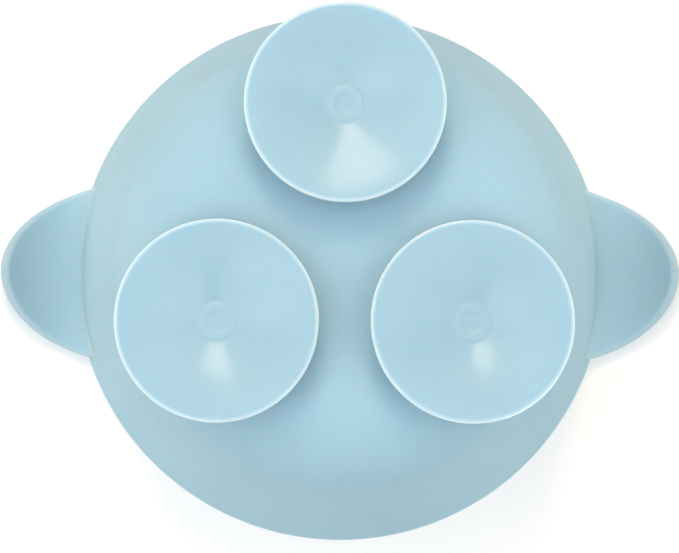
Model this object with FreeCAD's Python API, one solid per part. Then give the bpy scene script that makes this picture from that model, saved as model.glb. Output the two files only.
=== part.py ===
import FreeCAD, Part

import math
import os

# A baby's suction bowl in soft silicone: a round bowl with two ear tabs at its rim, standing on
# three suction cups. It is upright: +Z is up, the ears point along X, and the origin is the middle
# of the plane that the cups' lips rest on. Every size is in millimetres.

# Bowl
RIM_RADIUS = 62.5  # at the rim's widest
HEIGHT = 57.0  # from the lips to the rim
STAND_OFF = 11.0  # from the lips to the bowl's underside
WALL = 3.4  # the bowl's thickness, floor and wall alike
SHOULDER = 22.6  # outside radius of the curve from the floor into the wall
LEAN = math.radians(19.7)  # the wall's lean from upright
RIM_ROUND = 1.0  # rounding of the rim's two edges
RIM_CORNER = RIM_RADIUS + RIM_ROUND * (math.tan(LEAN) + 1 / math.cos(LEAN) - 1)  # before rounding

# Ears
EAR_CENTRE = 48.2  # from the bowl's axis to the middle of each ear's elliptical outline
EAR_HALF_LENGTH = 31.1
EAR_HALF_WIDTH = 21.2
EAR_THICKNESS = 3.0
EAR_BELOW_RIM = 0.8  # from the rim's top down to the ear's top face
EAR_CURL = 30.0  # radius of the ear's downward curl
EAR_CURL_START = 62.0  # where the curl begins, from the bowl's axis
EAR_ROUND = 1.1  # rounding of the ear's outer edges
EAR_ROOT_END = 65.5  # the flexing root runs from the wall to here

# Suction cups
CUP_CIRCLE = 31.8  # radius of the circle that the cups' centres are on
CUP_ANGLES = {"front_cup": 270.0, "rear_right_cup": 30.0, "rear_left_cup": 150.0}
LIP_RADIUS = 22.0  # outside of the lip
LIP_EDGE = 1.1  # height of the lip's outer edge
FOOT_INNER = 20.95  # the flat foot that meets the table, inside and outside
FOOT_OUTER = 21.65
LIP_INNER = 17.5  # the lip band ends and the flexing skirt begins
HUB_RADIUS = 9.0  # the skirt ends and the stiff hub begins
HUB_TOP = 7.2
CAVITY_DEPTH = 4.5  # depth of the suction cavity's cone, to its point
BACK_SLOPE = math.radians(14.0)  # slope of the cup's back
NECK_RADIUS = 5.5
NECK_WAIST = 5.1
NUB_RADIUS = 4.0  # the small round nub in the middle of the cavity
NUB_BOTTOM = 3.2
NUB_TOP = 5.0
DIMPLE_RADIUS = 2.4
DIMPLE_DEPTH = 0.5

UP = FreeCAD.Vector(0, 0, 1)
ORIGIN = FreeCAD.Vector(0, 0, 0)
REACH = 200.0  # longer than any part of the bowl, for cutting solids


def at(radius, height):
    """A point of a profile: radius from the axis, and height."""
    return FreeCAD.Vector(radius, 0, height)


def on_arc(centre, radius, angle):
    """The profile point at an angle round a centre, in radians from the outward direction."""
    return centre + at(radius * math.cos(angle), radius * math.sin(angle))


def outline(*steps):
    """A closed flat face. Each step is a corner, or (middle, end) for an arc to a new corner."""
    edges = []
    here = steps[0]
    for step in (*steps[1:], steps[0]):
        if isinstance(step, tuple):
            middle, end = step
            edges.append(Part.Arc(here, middle, end).toShape())
        else:
            end = step
            edges.append(Part.LineSegment(here, end).toShape())
        here = end
    return Part.Face(Part.Wire(edges))


def turned(face):
    """The solid made by turning a profile all the way round the Z axis."""
    return face.revolve(ORIGIN, UP, 360)


def slab(low_x, high_x):
    """A block across the whole bowl between two distances along X."""
    corner = FreeCAD.Vector(low_x, -REACH, -REACH)
    return Part.makeBox(high_x - low_x, 2 * REACH, 2 * REACH, corner)


def shoulder_centre():
    """The centre of the curve between floor and wall, from the rim, the height and the lean."""
    height = STAND_OFF + SHOULDER
    wall_foot_height = height - SHOULDER * math.sin(LEAN)
    wall_foot_radius = RIM_CORNER - (HEIGHT - wall_foot_height) * math.tan(LEAN)
    return at(wall_foot_radius - SHOULDER * math.cos(LEAN), height)


def filled_bowl():
    """Everything inside the bowl's outer surface."""
    centre = shoulder_centre()
    middle_angle = -(math.pi / 2 + LEAN) / 2
    return turned(outline(
        at(0, STAND_OFF),
        at(centre.x, STAND_OFF),
        (on_arc(centre, SHOULDER, middle_angle), on_arc(centre, SHOULDER, -LEAN)),
        at(RIM_CORNER, HEIGHT),
        at(0, HEIGHT),
    ))


def bowl_shell():
    """The bowl: flat floor, round shoulder and leaning wall, all of one thickness."""
    centre = shoulder_centre()
    inner = SHOULDER - WALL
    middle_angle = -(math.pi / 2 + LEAN) / 2
    hollow = turned(outline(
        at(0, STAND_OFF + WALL),
        at(centre.x, STAND_OFF + WALL),
        (on_arc(centre, inner, middle_angle), on_arc(centre, inner, -LEAN)),
        at(RIM_CORNER - WALL / math.cos(LEAN), HEIGHT),
        at(0, HEIGHT),
    ))
    shell = filled_bowl().cut(hollow)
    rim_edges = [
        edge for edge in shell.Edges
        if edge.BoundBox.ZMin > HEIGHT - RIM_ROUND / 2 and edge.Length > RIM_RADIUS
    ]
    return shell.makeFillet(RIM_ROUND, rim_edges)


def right_ear_blank():
    """The right ear with its root: an elliptical tab that curls down towards its tip."""
    top = HEIGHT - EAR_BELOW_RIM
    centre = at(EAR_CURL_START, top - EAR_CURL)
    inner = EAR_CURL - EAR_THICKNESS
    end_angle = math.pi / 4
    middle_angle = (math.pi / 2 + end_angle) / 2
    profile = outline(
        at(EAR_CENTRE, top),
        at(EAR_CURL_START, top),
        (on_arc(centre, EAR_CURL, middle_angle), on_arc(centre, EAR_CURL, end_angle)),
        on_arc(centre, inner, end_angle),
        (on_arc(centre, inner, middle_angle), at(EAR_CURL_START, top - EAR_THICKNESS)),
        at(EAR_CENTRE, top - EAR_THICKNESS),
    )
    profile.translate(FreeCAD.Vector(0, -REACH, 0))
    curl = profile.extrude(FreeCAD.Vector(0, 2 * REACH, 0))
    ellipse = Part.Ellipse(at(EAR_CENTRE, 0), EAR_HALF_LENGTH, EAR_HALF_WIDTH)
    tab = curl.common(Part.Face(Part.Wire(ellipse.toShape())).extrude(UP * REACH))
    outer_edges = [
        edge for edge in tab.Edges
        if edge.BoundBox.XMax > EAR_ROOT_END and edge.BoundBox.ZLength > EAR_THICKNESS
    ]
    return tab.makeFillet(EAR_ROUND, outer_edges).cut(filled_bowl())


def ear_parts():
    """Both ears, each split into the root that flexes and the tab that moves."""
    blank = right_ear_blank()
    right = {
        "ear_root": blank.common(slab(0, EAR_ROOT_END)),
        "ear": blank.common(slab(EAR_ROOT_END, REACH)),
    }
    across = FreeCAD.Vector(1, 0, 0)
    parts = {}
    for name, solid in right.items():
        parts["right_" + name] = solid
        parts["left_" + name] = solid.mirror(ORIGIN, across)
    return parts


def cavity_height(radius):
    """Height of the suction cavity's conical ceiling."""
    return CAVITY_DEPTH * (1 - radius / FOOT_INNER)


def back_height(radius):
    """Height of the cup's back."""
    return LIP_EDGE + (LIP_RADIUS - radius) * math.tan(BACK_SLOPE)


def cup_lip():
    """The soft edge band with the narrow flat foot that seals on the table."""
    edge_middle = LIP_EDGE / 2
    return turned(outline(
        at(LIP_INNER, cavity_height(LIP_INNER)),
        at(FOOT_INNER, 0),
        at(FOOT_OUTER, 0),
        (at(LIP_RADIUS, edge_middle), at(FOOT_OUTER, back_height(FOOT_OUTER))),
        at(LIP_INNER, back_height(LIP_INNER)),
    ))


def cup_skirt():
    """The thin cone between the hub and the lip, which flattens when the cup is pressed."""
    return turned(outline(
        at(HUB_RADIUS, cavity_height(HUB_RADIUS)),
        at(LIP_INNER, cavity_height(LIP_INNER)),
        at(LIP_INNER, back_height(LIP_INNER)),
        at(HUB_RADIUS, back_height(HUB_RADIUS)),
    ))


def cup_hub():
    """The stiff middle of the cup, tapering up to the neck."""
    return turned(outline(
        at(0, NUB_TOP),
        at(NUB_RADIUS, NUB_TOP),
        at(NUB_RADIUS, cavity_height(NUB_RADIUS)),
        at(HUB_RADIUS, cavity_height(HUB_RADIUS)),
        at(HUB_RADIUS, back_height(HUB_RADIUS)),
        at(NECK_RADIUS, HUB_TOP),
        at(0, HUB_TOP),
    ))


def cup_nub():
    """The round nub in the middle of the cavity, with a shallow dimple."""
    dimple_top = NUB_BOTTOM + DIMPLE_DEPTH
    return turned(outline(
        at(0, dimple_top),
        at(DIMPLE_RADIUS, dimple_top),
        at(DIMPLE_RADIUS, NUB_BOTTOM),
        at(NUB_RADIUS, NUB_BOTTOM),
        at(NUB_RADIUS, NUB_TOP),
        at(0, NUB_TOP),
    ))


def cup_neck():
    """The waisted neck from the hub into the bowl, before its top is cut to the bowl's underside."""
    top = STAND_OFF + WALL
    middle = at(NECK_WAIST, (HUB_TOP + STAND_OFF) / 2)
    return turned(outline(
        at(0, HUB_TOP),
        at(NECK_RADIUS, HUB_TOP),
        (middle, at(NECK_RADIUS, STAND_OFF)),
        at(NECK_RADIUS, top),
        at(0, top),
    ))


def cup_parts():
    """The pieces of the three suction cups, placed evenly under the bowl."""
    pieces = {
        "neck": cup_neck(),
        "hub": cup_hub(),
        "nub": cup_nub(),
        "skirt": cup_skirt(),
        "lip": cup_lip(),
    }
    bowl = filled_bowl()
    parts = {}
    for cup, degrees in CUP_ANGLES.items():
        angle = math.radians(degrees)
        place = FreeCAD.Vector(CUP_CIRCLE * math.cos(angle), CUP_CIRCLE * math.sin(angle), 0)
        for piece, solid in pieces.items():
            placed = solid.translated(place)
            parts[cup + "_" + piece] = placed.cut(bowl) if piece == "neck" else placed
    return parts


def main():
    os.makedirs("parts", exist_ok=True)
    parts = {"bowl_shell": bowl_shell(), **ear_parts(), **cup_parts()}
    for name, shape in parts.items():
        solids = shape.Solids
        if len(solids) != 1 or not shape.isValid():
            raise ValueError(name + " is not one valid solid")
        solids[0].exportStep("parts/" + name + ".step")
        print(f"{name:24s} {shape.Volume:9.1f} mm3")


main()
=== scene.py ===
import math

import bpy
import numpy as np
from mathutils import Matrix, Vector

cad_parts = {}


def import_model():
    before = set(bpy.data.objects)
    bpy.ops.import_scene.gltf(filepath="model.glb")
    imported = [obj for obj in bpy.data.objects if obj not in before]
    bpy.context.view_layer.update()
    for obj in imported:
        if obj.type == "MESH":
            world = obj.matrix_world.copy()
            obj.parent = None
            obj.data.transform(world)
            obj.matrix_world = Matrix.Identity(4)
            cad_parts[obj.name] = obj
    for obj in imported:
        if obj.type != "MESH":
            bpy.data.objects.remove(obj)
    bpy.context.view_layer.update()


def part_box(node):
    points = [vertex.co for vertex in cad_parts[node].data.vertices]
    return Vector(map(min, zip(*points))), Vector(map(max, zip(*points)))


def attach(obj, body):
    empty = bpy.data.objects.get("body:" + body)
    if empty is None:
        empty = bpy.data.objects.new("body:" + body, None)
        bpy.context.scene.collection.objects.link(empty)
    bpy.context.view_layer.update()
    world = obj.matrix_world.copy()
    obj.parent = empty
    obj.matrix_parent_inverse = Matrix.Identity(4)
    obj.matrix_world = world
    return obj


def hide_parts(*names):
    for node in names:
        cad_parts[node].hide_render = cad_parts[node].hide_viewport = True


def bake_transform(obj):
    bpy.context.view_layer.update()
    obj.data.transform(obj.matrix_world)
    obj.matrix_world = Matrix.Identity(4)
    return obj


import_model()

# A baby's suction bowl in pale blue silicone, upright: +Z up, ears along X, one cup in front (-Y).
# Lengths are in metres. Places come from the CAD frame; the values below are the design's own.

# Bowl
WALL = 0.0034
SHOULDER = 0.0226
LEAN = math.radians(19.7)
RIM_ROUND = 0.0010

# Ears
EAR_ROUND = 0.0014
EAR_THICKNESS = 0.0030
EAR_CURL = 0.0300
EAR_CURL_START = 0.0620
EAR_BELOW_RIM = 0.0008
EAR_HALF_LENGTH = 0.0311
EAR_HALF_WIDTH = 0.0212
EAR_OUTLINE_END = math.radians(76)  # the outline's end inside the wall, from the ear's own axis
EAR_FILLET = 0.0036  # where the underside flows into the wall
EAR_TOP_FILLET = 0.0007
EAR_ROOT_DEPTH = 0.0024  # how far inside the wall the underside starts
EAR_TOP_ROOT_DEPTH = 0.0012
EAR_SINK = 0.0001  # how far the fillets end inside the wall

# Suction cups
FOOT_INNER = 0.02095
FOOT_OUTER = 0.02165
LIP_EDGE = 0.0011
LIP_CURVE = ((0.0002, 0.00006), (0.00006, 0.00022))  # from foot to edge: how far in, and how high
LIP_TOP_CURVE = (0.0001, 0.00012)  # how far in, and how far under the lip's edge
LIP_TOP_INSET = 0.0002
HUB_RADIUS = 0.0090
HUB_TOP = 0.0072
CAVITY_DEPTH = 0.0045
CAVITY_SAG = 0.36  # how much steeper the cavity is near the middle
BACK_SLOPE = math.radians(14.0)
NECK_RADIUS = 0.0055
NECK_WAIST = 0.0051
NECK_END_SHARE = 0.5  # the neck's hidden flat ends have this share of its radius
NECK_FLARE = 0.0016
NECK_SINK = 0.0008  # how far the flare starts inside the bowl's underside
NECK_CAP_SINK = 0.0012
FOOT_SWEEP = 0.0002  # how far outside the neck the back's sweep into it aims
FOOT_OVERLAP = 4  # points of that sweep that the neck's lower half shares
NUB_RADIUS = 0.0040
NUB_BOTTOM = 0.0032
NUB_FOOT = 0.00045  # from the nub to the cavity's cone
CONE_GAP = 0.0004  # from the cone's last ring of points to the foot
DIMPLE_RADIUS = 0.0024
DIMPLE_DEPTH = 0.00013
DIMPLE_FLAT = 0.7  # the dimple's flat middle has points out to this share of its radius

# Steps along the profiles, and columns round them
SAME_POINT = 1e-6  # points nearer than this are one
HALVINGS = 30  # of the range that a fillet's depth is searched in
FLAT_STEPS = 24
DIMPLE_STEPS = 3
HUB_TOP_STEPS = 4
BEND_STEPS = 40
OUTER_RIM_STEPS = 12
INNER_RIM_STEPS = 10
WALL_STEPS = 30
CONE_POINTS = 44
BEAD_POINTS = 13
BACK_POINTS = 40
SWEEP_POINTS = 15
WAIST_POINTS = 9
FLARE_POINTS = 12
EAR_COLUMNS = 181
EAR_ROWS = 46
TURNS = 288  # columns round the bowl
CUP_TURNS = 192  # columns round a cup or neck

# Silicone. Painted light makes its rim, ear outlines and cup lips paler, and painted shade darkens the ears'
# curled tips.
MATT_BLUE = (0.343, 0.533, 0.620)
# The edge colours are painted light: the bounced light and highlight that make thin edges look paler.
MATT_EDGE_LIGHT = (0.60, 0.66, 0.67)
SATIN_BLUE = (0.294, 0.474, 0.556)
SATIN_EDGE_LIGHT = (0.72, 0.77, 0.79)
RIM_LIGHT_BAND = 0.0025  # height of the band of painted light (bounced light and edge highlight) that ends at the rim
RIM_LIGHT_SHARE = 0.4  # how strong that painted light is, against the edge's painted light colour
EAR_LIGHT_SHARE = 0.3  # the same painted edge light for the ears' outlines
EAR_LIGHT_SPREAD = 1.2  # how quickly that band of painted light fades in
LIP_LIGHT_BAND = 0.0006  # width of the lip's outermost band of painted light, standing in for its edge highlight and light through the thin lip
TIP_SHADE_TONE = 0.74  # the ears' painted shade at their tips, against the body's colour
TONE_SPREAD = 0.03  # how uneven the colour is
CLOUD_SIZE = (28, 3, 0.5)  # a noise's scale, detail and roughness
SMEAR_SIZE = (60, 4, 0.6)
GRAIN_SIZE = (5200, 2, 0.6)
WAVE_SIZE = (110, 2, 0.5)
SMEAR_RANGE = (0.9, 1.12)  # the smears' roughness, against the material's
NOISE_RANGE = (0.3, 0.7)  # where a noise's values mostly are
GRAIN_HEIGHT = 0.00004
WAVE_HEIGHT = 0.0002
WAVE_STRENGTH = 0.12
SILICONE_IOR = 1.41
COAT_IOR = 1.45
COAT_ROUGHNESS = 0.13
SCATTER_SHARE = 0.8
SCATTER_REACH = 0.0025
SCATTER_COLOUR = (0.4, 0.85, 1.0)

# Light: bearing and polar angle in degrees, distance and size in metres, power in watts, colour
WHITE = (1.0, 1.0, 1.0)
WARM = (1.0, 0.90, 0.72)
AMBER = (1.0, 0.84, 0.68)
COOL = (0.85, 0.92, 1.0)
KEY_GLOW = (1.0, 0.77, 0.54)
LIGHTS = {
    "below": (
        (96, 34, 1.0, (0.27, 0.32), 2.60, KEY_GLOW),
        (90, 30, 1.0, (0.6, 0.6), 0.85, WARM),
        (0, 0.1, 1.0, (0.6, 0.6), 1.40, WHITE),
        (30, 30, 1.0, (0.6, 0.6), 0.90, WHITE),
        (150, 30, 1.0, (0.6, 0.6), 1.18, WHITE),
        (-30, 30, 1.0, (0.6, 0.6), 1.92, WHITE),
        (-150, 30, 1.0, (0.6, 0.6), 2.60, COOL),
        (150, 60, 1.0, (0.6, 0.6), 0.28, COOL),
        (0, 88, 1.0, (0.6, 0.6), 2.45, WARM),
        (-90, 88, 1.0, (0.6, 0.6), 0.95, WARM),
        (180, 88, 1.0, (0.6, 0.6), 3.05, AMBER),
    ),
    "above": (
        (130, 10, 2.2, (0.6, 0.6), 22.0, WHITE),
        (-40, 10, 2.2, (0.6, 0.6), 14.0, WHITE),
    ),
}
WORLD = (0.46, 0.47, 0.49)

# Stage: a table ring behind the upturned bowl, at its rim, and a floor under the cups that curves up
# into a backdrop. The floor can't be seen from below.
STAGE_GAP = 0.0002  # from the bowl
TABLE_INNER = 0.060
TABLE_OUTER = 0.16
PALE = (0.885, 0.863, 0.842)
FLOOR_PALE = (0.86, 0.86, 0.86)
FLOOR_GLOW = 0.65
FLOOR_HOLE = 0.0001
FLOOR_RADIUS = 1.6
COVE_RADIUS = 1.2
WALL_TOP = 4.0
FLOOR_STEPS = 8
COVE_STEPS = 24
STAGE_TURNS = 96

low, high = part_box("bowl_shell")
HEIGHT = high.z
STAND_OFF = low.z
RIM_RADIUS = (high.x - low.x) / 2
RIM_CORNER = RIM_RADIUS + RIM_ROUND * (math.tan(LEAN) + 1 / math.cos(LEAN) - 1)
EAR_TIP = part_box("right_ear")[1].x
EAR_CENTRE = EAR_TIP - EAR_HALF_LENGTH
NECK_MIDDLE = (HUB_TOP + STAND_OFF) / 2  # height of the waist, where the neck's two halves meet


# ---------------------------------------------------------------- profiles

def arc(centre, radius, start, end, steps):
    """Points (r, z) round a centre, from one angle to another."""
    return [(centre[0] + radius * math.cos(start + (end - start) * i / steps),
             centre[1] + radius * math.sin(start + (end - start) * i / steps)) for i in range(steps + 1)]


def line(start, end, steps):
    """Evenly spaced points (r, z) from start to end."""
    return [(start[0] + (end[0] - start[0]) * i / steps,
             start[1] + (end[1] - start[1]) * i / steps) for i in range(steps + 1)]


def joined(*stretches):
    """One profile from several stretches, without repeated points."""
    points = []
    for stretch in stretches:
        for p in stretch:
            if not points or math.dist(p, points[-1]) > SAME_POINT:
                points.append(p)
    return points


def shoulder_centre():
    """Centre (r, z) of the curve between floor and wall."""
    height = STAND_OFF + SHOULDER
    foot_height = height - SHOULDER * math.sin(LEAN)
    foot_radius = RIM_CORNER - (HEIGHT - foot_height) * math.tan(LEAN)
    return foot_radius - SHOULDER * math.cos(LEAN), height


def underside(r):
    """Height of the bowl's underside at radius r, over the floor and shoulder."""
    centre = shoulder_centre()
    out = np.clip(np.asarray(r, float) - centre[0], 0, SHOULDER)
    return centre[1] - np.sqrt(SHOULDER ** 2 - out ** 2)


def bowl_profile():
    """From the middle of the underside out over the shoulder and rim and back to the floor's middle."""
    centre = shoulder_centre()
    inner = SHOULDER - WALL
    lean_out = RIM_ROUND / math.cos(LEAN)
    outer_rim = (RIM_CORNER - RIM_ROUND * math.tan(LEAN) - lean_out, HEIGHT - RIM_ROUND)
    inner_corner = RIM_CORNER - WALL / math.cos(LEAN)
    inner_rim = (inner_corner - RIM_ROUND * math.tan(LEAN) + lean_out, HEIGHT - RIM_ROUND)
    outer_bend = arc(centre, SHOULDER, -math.pi / 2, -LEAN, BEND_STEPS)
    outer_round = arc(outer_rim, RIM_ROUND, -LEAN, math.pi / 2, OUTER_RIM_STEPS)
    inner_round = arc(inner_rim, RIM_ROUND, math.pi / 2, math.pi - LEAN, INNER_RIM_STEPS)
    inner_bend = arc(centre, inner, -LEAN, -math.pi / 2, BEND_STEPS)
    return joined(
        line((0, STAND_OFF), (centre[0], STAND_OFF), FLAT_STEPS),
        outer_bend,
        line(outer_bend[-1], outer_round[0], WALL_STEPS),
        outer_round,
        inner_round,
        line(inner_round[-1], inner_bend[0], WALL_STEPS),
        inner_bend,
        line(inner_bend[-1], (0, STAND_OFF + WALL), FLAT_STEPS),
    )


def cavity(r):
    """Height of the cup's cavity: a cone that is steeper near the middle."""
    share = r / FOOT_INNER
    return CAVITY_DEPTH * (1 - share) * (1 - CAVITY_SAG * share)


def back(r, lip_radius):
    """Height of the cup's back."""
    return LIP_EDGE + (lip_radius - r) * math.tan(BACK_SLOPE)


def lip_curve(lip_radius):
    """From the flat foot round the lip's edge to where its back begins."""
    return [
        (FOOT_OUTER, 0),
        *((lip_radius - inset, height) for inset, height in LIP_CURVE),
        (lip_radius, LIP_EDGE / 2),
        (lip_radius - LIP_TOP_CURVE[0], LIP_EDGE - LIP_TOP_CURVE[1]),
        (FOOT_OUTER - LIP_TOP_INSET, back(FOOT_OUTER, lip_radius)),
    ]


def dish_profile(lip_radius):
    """From the nub's middle out through the cavity, round the lip and back up to the neck."""
    dimple_top = NUB_BOTTOM + DIMPLE_DEPTH
    ring = (DIMPLE_RADIUS + NUB_RADIUS) / 2
    half_ring = (NUB_RADIUS - DIMPLE_RADIUS) / 2
    cone_start = NUB_RADIUS + NUB_FOOT
    cone_end = FOOT_INNER - CONE_GAP
    bead = [(ring + half_ring * math.sin(a), NUB_BOTTOM + DIMPLE_DEPTH * (1 - math.cos(a)) / 2)
            for a in np.linspace(-math.pi / 2, math.pi / 2, BEAD_POINTS)]
    cone = [(r, cavity(r)) for r in np.linspace(cone_start, cone_end, CONE_POINTS)]
    edge = lip_curve(lip_radius)
    backs = [(r, back(r, lip_radius)) for r in np.linspace(edge[-1][0], HUB_RADIUS, BACK_POINTS)]
    hub = neck_foot_curve(lip_radius)
    return joined(
        line((0, dimple_top), (DIMPLE_RADIUS * DIMPLE_FLAT, dimple_top), DIMPLE_STEPS),
        bead,
        cone,
        [(FOOT_INNER, 0)],
        edge,
        backs,
        hub,
        line(hub[-1], (0, hub[-1][1]), HUB_TOP_STEPS),
    )


def neck_foot_curve(lip_radius):
    """The smooth sweep from the cup's back up into the neck."""
    start = (HUB_RADIUS, back(HUB_RADIUS, lip_radius))
    end = (NECK_RADIUS, HUB_TOP)
    corner = (NECK_RADIUS + FOOT_SWEEP, back(NECK_RADIUS, lip_radius))
    points = []
    for t in np.linspace(0, 1, SWEEP_POINTS):
        a, b, c = (1 - t) ** 2, 2 * t * (1 - t), t ** 2
        points.append((a * start[0] + b * corner[0] + c * end[0], a * start[1] + b * corner[1] + c * end[1]))
    return points


# ---------------------------------------------------------------- meshes

def new_object(name, vertices, faces, material, painted_edge_light=0, painted_tip_shade=0):
    """A smooth-shaded mesh object. Its material reads the resting shape, how much painted edge light each
    point gets, and how much painted shade it gets."""
    mesh = bpy.data.meshes.new(name)
    mesh.from_pydata([tuple(v) for v in vertices], [], faces)
    mesh.update()
    mesh.shade_smooth()
    rest = mesh.attributes.new("rest", "FLOAT_VECTOR", "POINT")
    rest.data.foreach_set("vector", np.asarray(vertices, np.float32).ravel())
    for label, values in (("painted_edge_light", painted_edge_light), ("painted_tip_shade", painted_tip_shade)):
        attribute = mesh.attributes.new(label, "FLOAT", "POINT")
        attribute.data.foreach_set("value", np.broadcast_to(np.float32(values), len(vertices)).copy())
    mesh.materials.append(material)
    obj = bpy.data.objects.new(name, mesh)
    bpy.context.scene.collection.objects.link(obj)
    return obj


def lathe(profile, turns, centre=(0, 0)):
    """Vertices and faces of a profile turned about a vertical axis. Its ends are on the axis."""
    vertices = [(centre[0], centre[1], profile[0][1])]
    for r, z in profile[1:-1]:
        for i in range(turns):
            a = 2 * math.pi * i / turns
            vertices.append((centre[0] + r * math.cos(a), centre[1] + r * math.sin(a), z))
    vertices.append((centre[0], centre[1], profile[-1][1]))
    rows = len(profile) - 2
    last = len(vertices) - 1
    faces = []
    for i in range(turns):
        j = (i + 1) % turns
        faces.append((0, 1 + j, 1 + i))
        for k in range(rows - 1):
            a, b = 1 + k * turns, 1 + (k + 1) * turns
            faces.append((a + i, a + j, b + j, b + i))
        end = 1 + (rows - 1) * turns
        faces.append((end + i, end + j, last))
    return vertices, faces


def grid_faces(rows, columns, wrap=False):
    """Quads over a grid of vertices stored row by row."""
    faces = []
    for k in range(rows - 1):
        for i in range(columns if wrap else columns - 1):
            j = (i + 1) % columns
            faces.append((k * columns + i, k * columns + j, (k + 1) * columns + j, (k + 1) * columns + i))
    return faces


def smoothstep(t):
    """A smooth ramp from 0 at 0 to 1 at 1."""
    t = np.clip(t, 0, 1)
    return t * t * (3 - 2 * t)


# ---------------------------------------------------------------- materials

def new_material(name):
    """An empty material with its output, and its nodes and links."""
    material = bpy.data.materials.new(name)
    material.use_nodes = True
    nodes, links = material.node_tree.nodes, material.node_tree.links
    nodes.clear()
    return material, nodes, links, nodes.new("ShaderNodeOutputMaterial")


def noise(nodes, links, place, size):
    """A noise over the resting shape."""
    node = nodes.new("ShaderNodeTexNoise")
    for label, value in zip(("Scale", "Detail", "Roughness"), size):
        node.inputs[label].default_value = value
    links.new(place, node.inputs["Vector"])
    return node.outputs["Fac"]


def ranged(nodes, links, source, low_out, high_out):
    """A noise's values spread over another range."""
    node = nodes.new("ShaderNodeMapRange")
    node.inputs["From Min"].default_value, node.inputs["From Max"].default_value = NOISE_RANGE
    node.inputs["To Min"].default_value = low_out
    node.inputs["To Max"].default_value = high_out
    links.new(source, node.inputs["Value"])
    return node.outputs["Result"]


def bump(nodes, links, source, strength, height):
    """A bump from a noise."""
    node = nodes.new("ShaderNodeBump")
    node.inputs["Strength"].default_value = strength
    node.inputs["Distance"].default_value = height
    links.new(source, node.inputs["Height"])
    return node


def attribute(nodes, name):
    """One of the mesh's own attributes."""
    node = nodes.new("ShaderNodeAttribute")
    node.attribute_name = name
    return node


def silicone(name, colour, edge_light_colour, roughness, grain, coat):
    """Silicone: colour a little uneven, soft scattering, fine moulded grain and faint smears, with painted
    light on thin edges and painted shade at the ears' tips.
    """
    material, nodes, links, output = new_material(name)
    shader = nodes.new("ShaderNodeBsdfPrincipled")
    links.new(shader.outputs["BSDF"], output.inputs["Surface"])
    rest = attribute(nodes, "rest").outputs["Vector"]

    clouds = noise(nodes, links, rest, CLOUD_SIZE)
    mix = nodes.new("ShaderNodeMix")
    mix.data_type = "RGBA"
    mix.inputs["A"].default_value = (*(c * (1 - TONE_SPREAD) for c in colour), 1)
    mix.inputs["B"].default_value = (*(c * (1 + TONE_SPREAD) for c in colour), 1)
    links.new(ranged(nodes, links, clouds, 0, 1), mix.inputs["Factor"])
    blended = mix.outputs["Result"]
    # painted shade towards the ears' tips, then painted light along the rim, the ears' outlines and the
    # cups' lips
    for label, tone in (("painted_tip_shade", [c * TIP_SHADE_TONE for c in colour]), ("painted_edge_light", edge_light_colour)):
        towards = nodes.new("ShaderNodeMix")
        towards.data_type = "RGBA"
        towards.inputs["B"].default_value = (*tone, 1)
        links.new(attribute(nodes, label).outputs["Fac"], towards.inputs["Factor"])
        links.new(blended, towards.inputs["A"])
        blended = towards.outputs["Result"]
    links.new(blended, shader.inputs["Base Color"])

    smears = noise(nodes, links, rest, SMEAR_SIZE)
    rough = ranged(nodes, links, smears, *(roughness * share for share in SMEAR_RANGE))
    links.new(rough, shader.inputs["Roughness"])

    fine = bump(nodes, links, noise(nodes, links, rest, GRAIN_SIZE), grain, GRAIN_HEIGHT)
    wave = bump(nodes, links, noise(nodes, links, rest, WAVE_SIZE), WAVE_STRENGTH, WAVE_HEIGHT)
    links.new(fine.outputs["Normal"], wave.inputs["Normal"])
    links.new(wave.outputs["Normal"], shader.inputs["Normal"])

    shader.inputs["IOR"].default_value = SILICONE_IOR
    shader.inputs["Coat Weight"].default_value = coat
    shader.inputs["Coat Roughness"].default_value = COAT_ROUGHNESS
    shader.inputs["Coat IOR"].default_value = COAT_IOR
    shader.inputs["Subsurface Weight"].default_value = SCATTER_SHARE
    shader.inputs["Subsurface Radius"].default_value = SCATTER_COLOUR
    shader.inputs["Subsurface Scale"].default_value = SCATTER_REACH
    return material


MATT = silicone("matt_silicone", MATT_BLUE, MATT_EDGE_LIGHT, roughness=0.56, grain=0.35, coat=0)
SATIN = silicone("satin_silicone", SATIN_BLUE, SATIN_EDGE_LIGHT, roughness=0.40, grain=0.12, coat=0.5)


# ---------------------------------------------------------------- bowl and ears

def bowl_body():
    """The bowl's floor, shoulder, wall and rim as one skin."""
    vertices, faces = lathe(bowl_profile(), TURNS)
    height = np.asarray(vertices)[:, 2]
    # painted light along the rim's top band: a bounced-light and highlight fringe
    painted_edge_light = RIM_LIGHT_SHARE * smoothstep((height - HEIGHT + RIM_LIGHT_BAND) / RIM_LIGHT_BAND)
    obj = new_object("bowl_body", vertices, faces, MATT, painted_edge_light)
    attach(obj, "bowl")
    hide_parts("bowl_shell")


def bowl_distance(r, z):
    """How far a point is outside the bowl's wall and rounded rim."""
    wall = (r - RIM_CORNER + (HEIGHT - z) * math.tan(LEAN)) * math.cos(LEAN)
    centre_r = RIM_CORNER - RIM_ROUND * math.tan(LEAN) - RIM_ROUND / math.cos(LEAN)
    centre_z = HEIGHT - RIM_ROUND
    above = (z > centre_z) | ((z - centre_z) > -(r - centre_r) * math.tan(LEAN))
    return np.where(above & (r > centre_r), np.hypot(r - centre_r, z - centre_z) - RIM_ROUND, wall)


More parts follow.
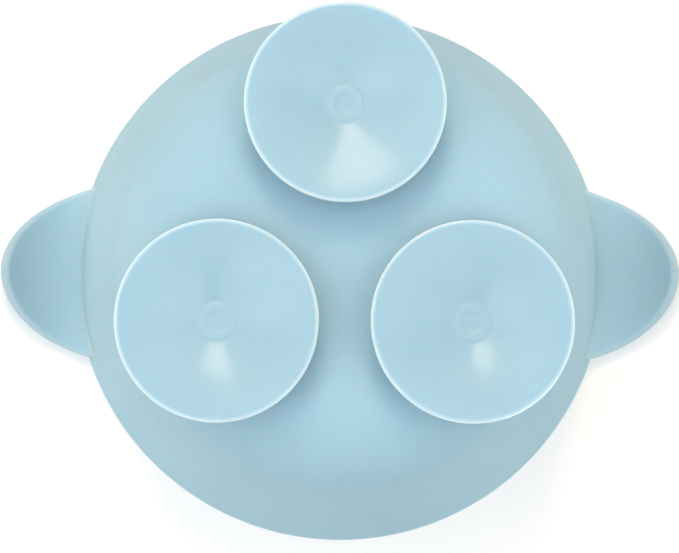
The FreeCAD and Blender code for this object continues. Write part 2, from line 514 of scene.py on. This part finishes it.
def fillet_depth(r, z, direction, reach):
    """How far an ear's face at (r, z) is drawn towards direction to meet the wall in a smooth fillet."""
    near = np.zeros_like(r)
    far = np.full_like(r, reach)
    for _ in range(HALVINGS):
        middle = (near + far) / 2
        gap = np.maximum(reach - EAR_SINK - bowl_distance(r, z + direction * middle), 0)
        inside = gap ** 2 + (reach - middle) ** 2 > reach ** 2
        near = np.where(inside, middle, near)
        far = np.where(inside, far, middle)
    return near


def ear_middle(x):
    """The ear's middle surface at x: height, and the normal's slope angle."""
    radius = EAR_CURL - EAR_THICKNESS / 2
    out = np.maximum(x - EAR_CURL_START, 0)
    top = HEIGHT - EAR_BELOW_RIM - EAR_THICKNESS / 2
    return top - radius + np.sqrt(radius ** 2 - out ** 2), np.arcsin(out / radius)


def ear_face(angles, shares, side):
    """Points of the ear's top (side 1) or underside (side -1), rows from the wall to the outline, and how
    much painted edge light each gets near the outline."""
    reach = EAR_FILLET if side < 0 else EAR_TOP_FILLET
    start_r = RIM_RADIUS - (EAR_ROOT_DEPTH if side < 0 else EAR_TOP_ROOT_DEPTH)
    cos, sin = np.cos(angles), np.sin(angles)
    a, b = EAR_HALF_LENGTH * cos, EAR_HALF_WIDTH * sin
    # where each ray from the ellipse's middle leaves the circle start_r
    square = a ** 2 + b ** 2
    ahead = EAR_CENTRE * a
    wall_share = (-ahead + np.sqrt(ahead ** 2 + square * (start_r ** 2 - EAR_CENTRE ** 2))) / square
    wall_share = np.minimum(wall_share, 1)
    share = wall_share + (1 - wall_share) * shares[:, None]
    x = EAR_CENTRE + share * a
    y = share * b
    inward = (1 - share) * EAR_HALF_LENGTH * EAR_HALF_WIDTH / np.hypot(EAR_HALF_WIDTH * cos,
                                                                      EAR_HALF_LENGTH * sin)
    edge = np.clip(inward / EAR_ROUND, 0, 1)
    half = EAR_THICKNESS / 2 * np.sqrt(1 - (1 - edge) ** 2)
    height, tilt = ear_middle(x)
    px = x + side * half * np.sin(tilt)
    pz = height + side * half * np.cos(tilt)
    pz = pz + side * fillet_depth(np.hypot(px, y), pz, side, reach)
    return np.stack([px, y, pz], -1), smoothstep(EAR_LIGHT_SPREAD * (1 - inward / EAR_ROUND))


def ear(side_name, sign):
    """One ear as a single skin: two faces joined along the outline, closed inside the wall."""
    angles = EAR_OUTLINE_END * np.sin(np.linspace(-math.pi / 2, math.pi / 2, EAR_COLUMNS))
    shares = np.sin(np.linspace(0, math.pi / 2, EAR_ROWS))
    top, top_edge_light = ear_face(angles, shares, 1)
    bottom, bottom_edge_light = ear_face(angles, shares, -1)
    grid = np.concatenate([top, bottom[-2::-1]])
    # painted light along the ear's outline
    painted_edge_light = EAR_LIGHT_SHARE * np.concatenate([top_edge_light, bottom_edge_light[-2::-1]]).ravel()
    # painted shade: the ear's colour grows darker from the rim towards the tip
    painted_tip_shade = np.clip((grid[..., 0].ravel() - RIM_RADIUS) / (EAR_TIP - RIM_RADIUS), 0, 1)
    faces = grid_faces(len(grid), EAR_COLUMNS)
    points = grid.reshape(-1, 3) * np.array([sign, 1, 1])
    final = (len(grid) - 1) * EAR_COLUMNS
    faces += [(i + 1, i, final + i, final + i + 1) for i in range(EAR_COLUMNS - 1)]
    if sign > 0:
        faces = [tuple(reversed(f)) for f in faces]
    obj = new_object(side_name + "_ear_tab", points, faces, MATT, painted_edge_light, painted_tip_shade)
    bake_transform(obj)
    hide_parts(side_name + "_ear", side_name + "_ear_root")


# ---------------------------------------------------------------- suction cups

def cup_centre(cup):
    """The cup's centre and its lip's radius."""
    box_low, box_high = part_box(cup + "_lip")
    return ((box_low.x + box_high.x) / 2, (box_low.y + box_high.y) / 2), (box_high.x - box_low.x) / 2


def neck_radius(t):
    """The neck's radius between one of its ends (0) and its narrow middle (1)."""
    return NECK_RADIUS - (NECK_RADIUS - NECK_WAIST) * smoothstep(t)


def neck_top(cup, centre):
    """The neck's upper half: a fillet that follows the bowl's underside, then half the waist."""
    turn = 2 * math.pi * np.arange(CUP_TURNS) / CUP_TURNS
    rows = []

    def ring(radius, height):
        x = centre[0] + radius * np.cos(turn)
        y = centre[1] + radius * np.sin(turn)
        z = np.broadcast_to(height(np.hypot(x, y)), x.shape)
        rows.append(np.stack([x, y, z], -1))

    ring(NECK_RADIUS * NECK_END_SHARE, lambda r: underside(r) + NECK_CAP_SINK)
    ring(NECK_RADIUS + NECK_FLARE, lambda r: underside(r) + NECK_SINK)
    for a in np.linspace(0, math.pi / 2, FLARE_POINTS):
        drop = NECK_FLARE * (1 - math.cos(a))
        ring(NECK_RADIUS + NECK_FLARE * (1 - math.sin(a)), lambda r, d=drop: underside(r) - d)
    top = rows[-1][:, 2].copy()
    for t in np.linspace(0, 1, WAIST_POINTS)[1:]:
        ring(neck_radius(t), lambda r, s=t: top + (NECK_MIDDLE - top) * s)
    ring(NECK_WAIST * NECK_END_SHARE, lambda r: NECK_MIDDLE)
    faces = [tuple(reversed(face)) for face in grid_faces(len(rows), CUP_TURNS, True)]
    last = (len(rows) - 1) * CUP_TURNS
    faces.append(tuple(range(CUP_TURNS)))
    faces.append(tuple(reversed(range(last, last + CUP_TURNS))))
    obj = new_object(cup + "_neck_top", np.concatenate(rows), faces, SATIN)
    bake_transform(obj)
    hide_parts(cup + "_neck")


def neck_foot(cup, centre, lip_radius):
    """The neck's lower half, down to the top of the hub."""
    waist = [(float(neck_radius(1 - t)), NECK_MIDDLE + (HUB_TOP - NECK_MIDDLE) * t)
             for t in np.linspace(0, 1, WAIST_POINTS)]
    curve = neck_foot_curve(lip_radius)[::-1][:FOOT_OVERLAP]
    profile = joined([(0, NECK_MIDDLE)], waist, curve, [(0, curve[-1][1])])
    vertices, faces = lathe(profile, CUP_TURNS, centre)
    faces = [tuple(reversed(face)) for face in faces]
    obj = new_object(cup + "_neck_foot", vertices, faces, SATIN)
    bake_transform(obj)
    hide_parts(cup + "_neck")


def dish(cup, centre, lip_radius):
    """The whole cup as one skin, from the nub round the lip and up to the neck."""
    vertices, faces = lathe(dish_profile(lip_radius), CUP_TURNS, centre)
    reach = np.hypot(*(np.asarray(vertices)[:, :2] - np.asarray(centre)).T)
    # painted light on the lip's outermost band: an edge highlight and light through the thin lip
    painted_edge_light = smoothstep((reach - lip_radius + LIP_LIGHT_BAND) / LIP_LIGHT_BAND)
    obj = new_object(cup + "_dish", vertices, faces, SATIN, painted_edge_light)
    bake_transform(obj)
    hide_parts(cup + "_hub", cup + "_nub", cup + "_skirt", cup + "_lip")


# ---------------------------------------------------------------- stage, light and camera

def one_sided(name, colour, glow):
    """A pale stage material, clear from behind. Part of its brightness is a glow of its own."""
    material, nodes, links, output = new_material(name)
    sides = nodes.new("ShaderNodeMixShader")
    lit = nodes.new("ShaderNodeAddShader")
    face = nodes.new("ShaderNodeBsdfDiffuse")
    own = nodes.new("ShaderNodeEmission")
    clear = nodes.new("ShaderNodeBsdfTransparent")
    geometry = nodes.new("ShaderNodeNewGeometry")
    face.inputs["Color"].default_value = (*[c * (1 - glow) for c in colour], 1)
    own.inputs["Color"].default_value = (*colour, 1)
    own.inputs["Strength"].default_value = glow
    links.new(face.outputs[0], lit.inputs[0])
    links.new(own.outputs[0], lit.inputs[1])
    links.new(geometry.outputs["Backfacing"], sides.inputs["Fac"])
    links.new(lit.outputs[0], sides.inputs[1])
    links.new(clear.outputs[0], sides.inputs[2])
    links.new(sides.outputs[0], output.inputs["Surface"])
    return material


def stage_piece(name, profile, facing, material, bounces):
    """A round stage surface turned from a profile. It blocks no light; it may bounce light onto the bowl."""
    turn = 2 * math.pi * np.arange(STAGE_TURNS) / STAGE_TURNS
    points = [(r * math.cos(t), r * math.sin(t), z) for r, z in profile for t in turn]
    faces = [face[::-facing] for face in grid_faces(len(profile), STAGE_TURNS, True)]
    mesh = bpy.data.meshes.new(name)
    mesh.from_pydata(points, [], faces)
    mesh.shade_smooth()
    mesh.materials.append(material)
    obj = bpy.data.objects.new(name, mesh)
    bpy.context.scene.collection.objects.link(obj)
    obj.visible_shadow = False
    obj.visible_diffuse = bounces
    obj.visible_glossy = False
    obj.visible_transmission = False


def softbox(name, direction, distance, size, power, colour):
    """A rectangular light that faces the bowl from a direction."""
    data = bpy.data.lights.new(name, "AREA")
    data.shape = "RECTANGLE"
    data.size, data.size_y = size
    data.energy = power
    data.color = colour
    lamp = bpy.data.objects.new(name, data)
    way = Vector(direction).normalized()
    lamp.location = Vector((0, 0, HEIGHT / 2)) + way * distance
    lamp.rotation_euler = way.to_track_quat("Z", "Y").to_euler()
    bpy.context.scene.collection.objects.link(lamp)


def below(bearing, polar):
    """A direction under the bowl. Bearing 0 is +X and 90 is the front; polar is from straight down."""
    b, p = math.radians(bearing), math.radians(polar)
    return math.sin(p) * math.cos(b), -math.sin(p) * math.sin(b), -math.cos(p)


def above(bearing, polar):
    """The same over the bowl."""
    x, y, z = below(bearing, polar)
    return x, y, -z


def world(colour):
    """Even light from all round."""
    scene_world = bpy.data.worlds.new("studio")
    bpy.context.scene.world = scene_world
    scene_world.use_nodes = True
    background = scene_world.node_tree.nodes["Background"]
    background.inputs["Color"].default_value = (*colour, 1)
    background.inputs["Strength"].default_value = 1


def camera():
    """Under the bowl and a little behind it, turned so that the front is at the picture's top."""
    distance = 0.600
    lens = 133.9
    tilt_back, tilt_left, roll = math.radians(6.13), math.radians(1.02), math.radians(0.17)
    target = Vector((-0.00015, 0.00027, HEIGHT))
    away = Vector((-math.sin(tilt_left) * math.cos(tilt_back), math.sin(tilt_back),
                   -math.cos(tilt_left) * math.cos(tilt_back)))
    right = (-away).cross(Vector((0, -1, 0))).normalized()
    up = right.cross(-away)
    data = bpy.data.cameras.new("camera")
    data.lens = lens
    data.sensor_width = 36
    obj = bpy.data.objects.new("camera", data)
    bpy.context.scene.collection.objects.link(obj)
    turn = Matrix((right, up, away)).transposed().to_4x4() @ Matrix.Rotation(roll, 4, "Z")
    obj.matrix_world = Matrix.Translation(target + away * distance) @ turn
    bpy.context.scene.camera = obj


bowl_body()
ear("left", -1)
ear("right", 1)
for cup in ("front_cup", "rear_left_cup", "rear_right_cup"):
    centre, lip_radius = cup_centre(cup)
    neck_top(cup, centre)
    neck_foot(cup, centre, lip_radius)
    dish(cup, centre, lip_radius)

stage_piece("table", [(TABLE_INNER, HEIGHT + STAGE_GAP), (TABLE_OUTER, HEIGHT + STAGE_GAP)], -1,
            one_sided("pale_table", PALE, 0), True)
stage_piece("floor_and_backdrop", joined(
    line((FLOOR_HOLE, -STAGE_GAP), (FLOOR_RADIUS, -STAGE_GAP), FLOOR_STEPS),
    arc((FLOOR_RADIUS, COVE_RADIUS - STAGE_GAP), COVE_RADIUS, -math.pi / 2, 0, COVE_STEPS),
    line((FLOOR_RADIUS + COVE_RADIUS, COVE_RADIUS - STAGE_GAP), (FLOOR_RADIUS + COVE_RADIUS, WALL_TOP), 1),
), 1, one_sided("pale_floor", FLOOR_PALE, FLOOR_GLOW), False)
for side_name, side in (("below", below), ("above", above)):
    for bearing, polar, distance, size, power, colour in LIGHTS[side_name]:
        softbox(f"{side_name}_{bearing}_{polar}", side(bearing, polar), distance, size, power, colour)
world(WORLD)
bpy.context.scene.view_settings.view_transform = "Standard"
camera()
